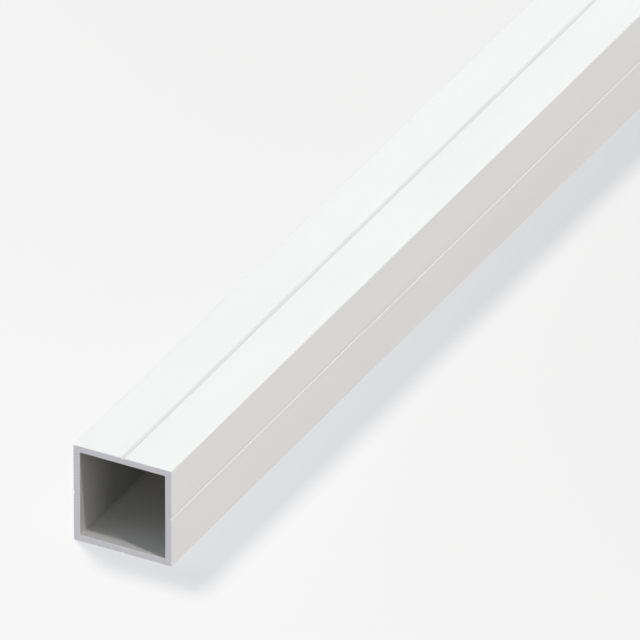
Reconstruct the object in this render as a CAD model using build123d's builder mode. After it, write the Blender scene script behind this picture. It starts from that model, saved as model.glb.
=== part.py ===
from build123d import *
import os

# A length of white PVC square tube, the stock that push-together frames and shelves are cut from.
#
# It is one extrusion: a thin square wall with small rounded corners inside and out, and a fine V groove
# down the middle of each outer face, which centres a drill and guides a saw. Both ends are sawn square,
# and the sharp edge that the saw leaves is taken off all round.
#
# The tube lies along X, flat on one face. The origin is under its middle, on the surface that it lies
# on, with Z up. All sizes are in millimetres.

tube_length = 1000.0  # the length that this stock is sold in
tube_side = 23.5  # outside, from face to face
wall_thickness = 1.5
outer_corner_radius = 0.2  # the four long edges outside
bore_corner_radius = 0.3  # the four long edges inside
groove_width = 0.9  # across the V, where it opens on the face
groove_depth = 0.26  # from the face down to the point of the V
sawn_edge_chamfer = 0.05  # on every edge that the saw has cut

bore_side = tube_side - 2 * wall_thickness

# The section is drawn on the plane of one sawn end, about the tube's axis, and looks along +X.
section_plane = Plane(
    origin=(-tube_length / 2, 0, tube_side / 2),
    x_dir=(0, 1, 0),
    z_dir=(1, 0, 0),
)

with BuildPart() as square_tube:
    with BuildSketch(section_plane):
        RectangleRounded(tube_side, tube_side, outer_corner_radius)
        RectangleRounded(bore_side, bore_side, bore_corner_radius, mode=Mode.SUBTRACT)

        # Each groove opens on the middle of its face. Local X points out through the face.
        with PolarLocations(tube_side / 2, 4):
            Polygon(
                (-groove_depth, 0),
                (0, -groove_width / 2),
                (0, groove_width / 2),
                align=None,
                mode=Mode.SUBTRACT,
            )
    extrude(amount=tube_length)

    sawn_ends = square_tube.faces().filter_by(Axis.X)
    chamfer(sawn_ends.edges(), sawn_edge_chamfer)

square_tube.part.label = "square_tube"

os.makedirs("parts", exist_ok=True)
export_step(square_tube.part, "parts/square_tube.step")
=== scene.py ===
import math

import bmesh
import bpy
from mathutils import Matrix, Vector


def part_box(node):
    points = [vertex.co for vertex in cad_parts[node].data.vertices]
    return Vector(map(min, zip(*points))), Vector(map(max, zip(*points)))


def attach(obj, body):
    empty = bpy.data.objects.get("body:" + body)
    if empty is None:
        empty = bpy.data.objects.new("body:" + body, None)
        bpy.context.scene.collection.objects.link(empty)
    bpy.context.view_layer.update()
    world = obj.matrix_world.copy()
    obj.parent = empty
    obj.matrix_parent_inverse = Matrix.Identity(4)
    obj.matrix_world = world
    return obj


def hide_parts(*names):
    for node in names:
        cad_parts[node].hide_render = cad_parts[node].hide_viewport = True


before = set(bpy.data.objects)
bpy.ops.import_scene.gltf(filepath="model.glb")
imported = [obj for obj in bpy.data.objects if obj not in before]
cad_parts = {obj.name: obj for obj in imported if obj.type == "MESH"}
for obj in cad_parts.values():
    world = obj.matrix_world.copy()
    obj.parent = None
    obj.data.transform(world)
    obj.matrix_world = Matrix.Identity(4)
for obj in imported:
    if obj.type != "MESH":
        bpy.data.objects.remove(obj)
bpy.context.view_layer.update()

mm = 0.001

# The tube's section. Its length and its outside come from the frame.
wall_thickness = 1.5 * mm
outer_corner_radius = 0.2 * mm
bore_corner_radius = 0.3 * mm
groove_width = 0.9 * mm
groove_depth = 0.26 * mm
groove_rounding = 0.05 * mm  # how far its rounded lips and bottom reach into each flat
sawn_edge_radius = 0.05 * mm

# The tube's four finishes, in the order of its material slots.
skin, bore, sawn, groove = range(4)

# The photograph's view: a very long lens, because the tube's long edges stay parallel in it.
view_azimuth = math.radians(-61.98)
view_elevation = math.radians(31.21)
view_target = Vector((-410.81, 0.16, 9.89)) * mm
view_distance = 5706 * mm
lens_length = 1500.0  # on a sensor 36 wide, as Blender gives both in millimetres

floor_half_size = 15000 * mm

along_y = Vector((0, 1, 0))
along_z = Vector((0, 0, 1))
same_place = 0.001 * mm  # two points closer than this are at one place


def linear(hex_colour):
    """An sRGB colour such as "F4F6F5" as linear red, green, blue and alpha."""
    channels = [int(hex_colour[i : i + 2], 16) / 255 for i in (0, 2, 4)]
    turned = [c / 12.92 if c <= 0.04045 else ((c + 0.055) / 1.055) ** 2.4 for c in channels]
    return (*turned, 1.0)


def add_node(tree, kind, settings=None, inputs=None):
    """Adds a node. Each input is a value, or another node's output socket to link."""
    node = tree.nodes.new(kind)
    for name, value in (settings or {}).items():
        setattr(node, name, value)
    for name, value in (inputs or {}).items():
        if isinstance(value, bpy.types.NodeSocket):
            tree.links.new(value, node.inputs[name])
        else:
            node.inputs[name].default_value = value
    return node


def new_material(name):
    """An empty node material, as (material, its tree, its output node)."""
    material = bpy.data.materials.new(name)
    material.use_nodes = True
    material.node_tree.nodes.clear()
    output = add_node(material.node_tree, "ShaderNodeOutputMaterial")
    return material, material.node_tree, output


def grain(length, width):
    """The scale of a pattern whose marks are so long along the tube and so wide across it."""
    return 1 / length, 1 / width, 1 / width


def extruded_pvc():
    """Rigid PVC, extruded and drawn through a cooled calibrator: satin, with faint lines along the draw."""
    material, tree, output = new_material("extruded_pvc_satin_skin")
    place = add_node(tree, "ShaderNodeTexCoord").outputs["Object"]

    # Die lines, nearly endless along the tube. The real ones are about a tenth of a millimetre wide, which
    # is too fine to show, so they are drawn coarser.
    lines_place = add_node(tree, "ShaderNodeMapping", inputs={
        "Vector": place,
        "Scale": grain(300 * mm, 0.5 * mm),
    })
    lines = add_node(tree, "ShaderNodeTexNoise", inputs={
        "Vector": lines_place.outputs["Vector"],
        "Scale": 1.0,
        "Detail": 3.0,
        "Roughness": 0.6,
    })

    # The calibrator leaves the faces a little uneven, over a few centimetres.
    sway_place = add_node(tree, "ShaderNodeMapping", inputs={
        "Vector": place,
        "Scale": grain(45 * mm, 14 * mm),
    })
    sway = add_node(tree, "ShaderNodeTexNoise", inputs={
        "Vector": sway_place.outputs["Vector"],
        "Scale": 1.0,
        "Detail": 2.0,
    })

    tone = add_node(tree, "ShaderNodeMix", {"data_type": "RGBA"}, {
        "Factor": sway.outputs["Fac"],
        "A": linear("F2F4F3"),
        "B": linear("F6F8F7"),
    })
    roughness = add_node(tree, "ShaderNodeMapRange", inputs={
        "Value": lines.outputs["Fac"],
        "From Min": 0.3,
        "From Max": 0.7,
        "To Min": 0.34,
        "To Max": 0.42,
    })
    sway_bump = add_node(tree, "ShaderNodeBump", inputs={
        "Height": sway.outputs["Fac"],
        "Distance": 0.03 * mm,
    })
    line_bump = add_node(tree, "ShaderNodeBump", inputs={
        "Height": lines.outputs["Fac"],
        "Distance": 0.003 * mm,
        "Normal": sway_bump.outputs["Normal"],
    })
    surface = add_node(tree, "ShaderNodeBsdfPrincipled", inputs={
        "Base Color": tone.outputs["Result"],
        "Roughness": roughness.outputs["Result"],
        "IOR": 1.53,
        "Normal": line_bump.outputs["Normal"],
    })
    tree.links.new(surface.outputs["BSDF"], output.inputs["Surface"])
    return material


def groove_pvc():
    """The same PVC down in the grooves, where nothing polishes it: duller, and toned darker as painted
    shade in the groove.
    """
    material, tree, output = new_material("extruded_pvc_dull_groove")
    place = add_node(tree, "ShaderNodeTexCoord").outputs["Object"]

    # The painted shade varies a little, in short streaks along the groove.
    painted_groove_shade_place = add_node(tree, "ShaderNodeMapping", inputs={
        "Vector": place,
        "Scale": grain(6 * mm, 1.5 * mm),
    })
    painted_groove_shade = add_node(tree, "ShaderNodeTexNoise", inputs={
        "Vector": painted_groove_shade_place.outputs["Vector"],
        "Scale": 1.0,
        "Detail": 3.0,
    })
    # Both tones are a little darker than the skin's: painted shade in the groove.
    tone = add_node(tree, "ShaderNodeMix", {"data_type": "RGBA"}, {
        "Factor": painted_groove_shade.outputs["Fac"],
        "A": linear("E6E8E7"),
        "B": linear("EAECEB"),
    })
    surface = add_node(tree, "ShaderNodeBsdfPrincipled", inputs={
        "Base Color": tone.outputs["Result"],
        "Roughness": 0.6,
        "IOR": 1.53,
    })
    tree.links.new(surface.outputs["BSDF"], output.inputs["Surface"])
    return material


def bore_pvc():
    """The same PVC where it left the die and touched nothing more: dull, and toned greyer than the outside
    as painted shade in the bore.
    """
    material, tree, output = new_material("extruded_pvc_dull_bore")
    place = add_node(tree, "ShaderNodeTexCoord").outputs["Object"]

    # The die lines again. They are drawn coarser than outside, to show in the dim bore.
    lines_place = add_node(tree, "ShaderNodeMapping", inputs={
        "Vector": place,
        "Scale": grain(120 * mm, 0.9 * mm),
    })
    lines = add_node(tree, "ShaderNodeTexNoise", inputs={
        "Vector": lines_place.outputs["Vector"],
        "Scale": 1.0,
        "Detail": 3.0,
    })
    # The grey tones are painted shade: the bore is the same white PVC as the outside.
    tone = add_node(tree, "ShaderNodeMix", {"data_type": "RGBA"}, {
        "Factor": lines.outputs["Fac"],
        "A": linear("BCBCBA"),
        "B": linear("C0C0BE"),
    })
    bump = add_node(tree, "ShaderNodeBump", inputs={
        "Height": lines.outputs["Fac"],
        "Distance": 0.01 * mm,
    })
    surface = add_node(tree, "ShaderNodeBsdfPrincipled", inputs={
        "Base Color": tone.outputs["Result"],
        "Roughness": 0.6,
        "IOR": 1.53,
        "Normal": bump.outputs["Normal"],
    })
    tree.links.new(surface.outputs["BSDF"], output.inputs["Surface"])
    return material


def sawn_pvc():
    """PVC cut by a circular saw: matt, with the arcs that the teeth leave."""
    material, tree, output = new_material("sawn_pvc_matt_end")
    place = add_node(tree, "ShaderNodeTexCoord").outputs["Object"]

    # The centre of the blade is well outside the tube, so the arcs are nearly straight.
    arcs_place = add_node(tree, "ShaderNodeMapping", inputs={
        "Vector": place,
        "Location": (0, 40 * mm, 118 * mm),
    })

    # Each tooth moves on by about a tenth of a millimetre, which is too fine to show, so the arcs are
    # drawn coarser. The wave's rings are pi / 10 apart at a scale of 1.
    arc_spacing = 0.7 * mm
    arcs = add_node(tree, "ShaderNodeTexWave", {"wave_type": "RINGS", "rings_direction": "X"}, {
        "Vector": arcs_place.outputs["Vector"],
        "Scale": math.pi / 10 / arc_spacing,
        "Distortion": 1.5,
        "Detail": 2.0,
        "Detail Scale": 2.0,
    })
    # Both tones are a little darker and bluer than the skin's: painted shade on the end face.
    tone = add_node(tree, "ShaderNodeMix", {"data_type": "RGBA"}, {
        "Factor": arcs.outputs["Fac"],
        "A": linear("EEEEF2"),
        "B": linear("F2F2F6"),
    })
    bump = add_node(tree, "ShaderNodeBump", inputs={
        "Height": arcs.outputs["Fac"],
        "Distance": 0.008 * mm,
    })
    surface = add_node(tree, "ShaderNodeBsdfPrincipled", inputs={
        "Base Color": tone.outputs["Result"],
        "Roughness": 0.7,
        "IOR": 1.53,
        "Normal": bump.outputs["Normal"],
    })
    tree.links.new(surface.outputs["BSDF"], output.inputs["Surface"])
    return material


def open_box(bm, low, high, radius, segments):
    """The four long walls of a box, with rounded corners and no ends."""
    placed = Matrix.Translation((low + high) / 2) @ Matrix.Diagonal((*(high - low), 1))
    corners = bmesh.ops.create_cube(bm, size=1, matrix=placed)["verts"]
    bm.normal_update()
    ends = {f for v in corners for f in v.link_faces if abs(f.normal.x) > 0.5}
    bmesh.ops.delete(bm, geom=list(ends), context="FACES_ONLY")
    long_edges = {
        e for v in corners for e in v.link_edges
        if abs(e.verts[0].co.x - e.verts[1].co.x) > radius
    }
    bmesh.ops.bevel(
        bm, geom=list(long_edges), offset=radius, segments=segments, profile=0.5,
        affect="EDGES", material=-1,
    )


def cut_grooves(bm, centre):
    """A V groove down the middle of each of the four faces, with its lips and its bottom rounded."""
    for across, inwards in ((along_y, along_z), (along_z, along_y)):
        for offset in (-groove_width / 2, 0, groove_width / 2):
            bmesh.ops.bisect_plane(
                bm, geom=bm.verts[:] + bm.edges[:] + bm.faces[:],
                plane_co=centre + across * offset, plane_no=across,
            )
        for side in (-1, 1):
            bottom = [
                v for v in bm.verts
                if abs((v.co - centre).dot(across)) < same_place and (v.co - centre).dot(inwards) * side > 0
            ]
            bmesh.ops.translate(bm, verts=bottom, vec=inwards * (-side * groove_depth))
            for flank in {f for v in bottom for f in v.link_faces}:
                flank.material_index = groove
    lips_and_bottoms = [
        e for e in bm.edges
        if not e.is_boundary and any(f.material_index == groove for f in e.link_faces)
    ]
    bmesh.ops.bevel(
        bm, geom=lips_and_bottoms, offset=groove_rounding, segments=2, profile=0.5,
        affect="EDGES", material=groove,
    )


def line_bore(bm, low, high):
    """The four walls of the bore. Each is split down its middle, opposite the bottom of a groove."""
    outer_faces = set(bm.faces)
    open_box(bm, low, high, bore_corner_radius, segments=5)
    for across in (along_y, along_z):
        walls = {part for f in bm.faces if f not in outer_faces for part in (f, *f.edges, *f.verts)}
        bmesh.ops.bisect_plane(bm, geom=list(walls), plane_co=(low + high) / 2, plane_no=across)
    for face in bm.faces:
        if face not in outer_faces:
            face.material_index = bore


def close_end(bm, end_x, centre):
    """The sawn ring of one end, as four large faces. They meet at the bottoms of the grooves."""
    for y_side, z_side in ((1, 1), (1, -1), (-1, -1), (-1, 1)):
        quarter = [
            e for e in bm.edges
            if e.is_boundary and all(
                abs(v.co.x - end_x) < same_place
                and (v.co.y - centre.y) * y_side > -same_place
                and (v.co.z - centre.z) * z_side > -same_place
                for v in e.verts
            )
        ]
        for face in bmesh.ops.contextual_create(bm, geom=quarter)["faces"]:
            face.material_index = sawn


def break_sawn_edges(bm):
    """Rounds the edges that the saw left, inside and outside, right along the section and its grooves."""
    sawn_edges = [
        e for e in bm.edges
        if any(f.material_index == sawn for f in e.link_faces) and e.calc_face_angle() > math.radians(60)
    ]
    bmesh.ops.bevel(
        bm, geom=sawn_edges, offset=sawn_edge_radius, segments=3, profile=0.5,
        affect="EDGES", material=sawn,
    )


def make_tube():
    """The whole tube as one closed mesh, in four finishes."""
    low, high = (Vector(corner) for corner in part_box("square_tube"))
    centre = (low + high) / 2
    inset = Vector((0, wall_thickness, wall_thickness))
    bm = bmesh.new()
    open_box(bm, low, high, outer_corner_radius, segments=6)
    cut_grooves(bm, centre)
    line_bore(bm, low + inset, high - inset)
    for end_x in (low.x, high.x):
        close_end(bm, end_x, centre)
    bmesh.ops.recalc_face_normals(bm, faces=bm.faces[:])
    bm.normal_update()
    break_sawn_edges(bm)
    for face in bm.faces:
        face.smooth = True

    mesh = bpy.data.meshes.new("pvc_square_tube")
    bm.to_mesh(mesh)
    bm.free()
    finishes = {skin: extruded_pvc(), bore: bore_pvc(), sawn: sawn_pvc(), groove: groove_pvc()}
    for slot in sorted(finishes):
        mesh.materials.append(finishes[slot])
    tube = bpy.data.objects.new("pvc_square_tube", mesh)
    bpy.context.scene.collection.objects.link(tube)
    tube.modifiers.new("flat_faces_stay_flat", "WEIGHTED_NORMAL")
    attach(tube, "root")
    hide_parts("square_tube")
    return tube


def seen_directly(tree):
    """1 for the camera and for what it sees in reflections and through things, 0 for light on surfaces."""
    path = add_node(tree, "ShaderNodeLightPath")
    mirrored = add_node(tree, "ShaderNodeMath", {"operation": "MAXIMUM"}, {
        0: path.outputs["Is Glossy Ray"],
        1: path.outputs["Is Transmission Ray"],
    })
    return add_node(tree, "ShaderNodeMath", {"operation": "MAXIMUM"}, {
        0: path.outputs["Is Camera Ray"],
        1: mirrored.outputs["Value"],
    }).outputs["Value"]


def studio_floor():
    """A pale board that takes the tube's shadow, and greys a little towards the far end of the tube.

    Its own colour is a mid grey and most of its whiteness is a glow. The key lamps can then draw the
    shadow as faint as it is in the photograph.
    """
    bm = bmesh.new()
    bmesh.ops.create_grid(bm, x_segments=1, y_segments=1, size=floor_half_size)
    mesh = bpy.data.meshes.new("studio_floor")
    bm.to_mesh(mesh)
    bm.free()
    material, tree, output = new_material("matt_board")
    material.cycles.emission_sampling = "NONE"  # the board is too large for light rays to need aiming at it
    board = add_node(tree, "ShaderNodeBsdfDiffuse", inputs={"Color": linear("666666")})
    place = add_node(tree, "ShaderNodeTexCoord").outputs["Object"]
    towards_grey = (0.82, -0.5725, 0)  # along the tube to its far end, and to its right
    away = add_node(tree, "ShaderNodeVectorMath", {"operation": "DOT_PRODUCT"}, {0: place, 1: towards_grey})
    whiteness = add_node(tree, "ShaderNodeMapRange", {"interpolation_type": "SMOOTHSTEP"}, {
        "Value": away.outputs["Value"],
        "From Min": -582 * mm,
        "From Max": -97 * mm,
        "To Min": 0.756,
        "To Max": 0.646,
    })
    glow = add_node(tree, "ShaderNodeEmission", inputs={
        "Color": (0.969, 0.978, 1, 1),
        "Strength": whiteness.outputs["Result"],
    })
    shown = add_node(tree, "ShaderNodeAddShader", inputs={
        0: board.outputs["BSDF"],
        1: glow.outputs["Emission"],
    })

    # What the board sends back up onto the tube is even, as from a floor that many lamps light.
    bounced = add_node(tree, "ShaderNodeEmission", inputs={"Color": (0.98, 0.92, 1, 1), "Strength": 0.233})
    surface = add_node(tree, "ShaderNodeMixShader", inputs={
        0: seen_directly(tree),
        1: bounced.outputs["Emission"],
        2: shown.outputs["Shader"],
    })
    tree.links.new(surface.outputs["Shader"], output.inputs["Surface"])
    mesh.materials.append(material)
    floor = bpy.data.objects.new("studio_floor", mesh)
    bpy.context.scene.collection.objects.link(floor)
    return floor


def sun(name, towards, strength, colour, angle):
    """A lamp as far away as the sun. Towards points from the tube to the lamp."""
    lamp = bpy.data.lights.new(name, "SUN")
    lamp.energy = strength
    lamp.color = colour
    lamp.angle = math.radians(angle)
    placed = bpy.data.objects.new(name, lamp)
    placed.rotation_mode = "QUATERNION"
    placed.rotation_quaternion = Vector(towards).to_track_quat("Z", "Y")
    bpy.context.scene.collection.objects.link(placed)
    return placed


def studio_wall():
    """The pale wall all round. The camera sees it, straight and in gloss, and the lamps do the lighting."""
    world = bpy.data.worlds.new("studio_wall")
    world.use_nodes = True
    tree = world.node_tree
    tree.nodes.clear()
    output = add_node(tree, "ShaderNodeOutputWorld")
    wall = add_node(tree, "ShaderNodeBackground", inputs={
        "Color": linear("F7F7F7"),
        "Strength": seen_directly(tree),
    })
    tree.links.new(wall.outputs["Background"], output.inputs["Surface"])
    bpy.context.scene.world = world


def shines_only_on(lamp, thing):
    """The lamp lights one object. Everything still casts a shadow in its light."""
    lit = bpy.data.collections.new(f"lit_by_{lamp.name}")
    lit.objects.link(thing)
    lamp.light_linking.receiver_collection = lit


def studio_light(tube, floor):
    """The photograph's light: soft from high behind for the shadow, and from the near right on the tube."""
    studio_wall()

    # Two lamps of one bank draw the shadow. Their spread gives it the width of its soft edge.
    key_lamps = (
        sun("key", (7.9, 11.1, 23.5), 4.58, (1, 0.957, 0.887), 13),
        sun("key_beside", (4.9, 11.1, 23.5), 1.38, (1, 0.957, 0.887), 13),
    )
    for lamp in key_lamps:
        shines_only_on(lamp, floor)

    # The side lamp is small: it throws the crisp wedge of light into the bore and shades the grooves.
    # The right lamp lights the right face, and the back window puts the sheen on the top face.
    glossy_lamps = (
        sun("side", (-2.45, -12.2, 20.5), 1.28, (1, 0.981, 0.98), 3.5),
        sun("right", (0, -1, 0.1), 1.87, (1, 0.964, 0.908), 70),
        sun("back_window", (0.7586, 0.4, 0.514), 0.19, (1, 0.973, 0.87), 15),
    )

    # The low front lamp lights the near end and looks down the bore. The others open up the rest.
    fill_lamps = (
        sun("low_front", (-1, 0, 0.27), 0.535, (1, 0.967, 0.91), 12),
        sun("high_front", (-1, 0, 1), 0.6, (0.933, 0.975, 1), 90),
        sun("high_left", (0, 1, 1), 0.96, (0.828, 0.862, 1), 90),
        sun("left", (0, 1, 0), 1.46, (1, 1, 0.877), 40),
        sun("far_end", (1, 0, 0), 1.34, (0.996, 1, 0.937), 20),
    )
    for lamp in fill_lamps:
        lamp.visible_glossy = False  # so that it leaves no white glare on a face that it only grazes
    for lamp in glossy_lamps + fill_lamps:
        shines_only_on(lamp, tube)


def camera():
    """A camera at the photograph's viewing angle."""
    data = bpy.data.cameras.new("long_lens")
    data.lens = lens_length
    placed = bpy.data.objects.new("long_lens", data)
    towards = Vector((
        math.sin(view_azimuth) * math.cos(view_elevation),
        -math.cos(view_azimuth) * math.cos(view_elevation),
        math.sin(view_elevation),
    ))
    placed.location = view_target + towards * view_distance
    placed.rotation_mode = "QUATERNION"
    placed.rotation_quaternion = towards.to_track_quat("Z", "Y")
    bpy.context.scene.collection.objects.link(placed)
    bpy.context.scene.camera = placed


tube = make_tube()
floor = studio_floor()
studio_light(tube, floor)
camera()
bpy.context.scene.view_settings.view_transform = "Standard"
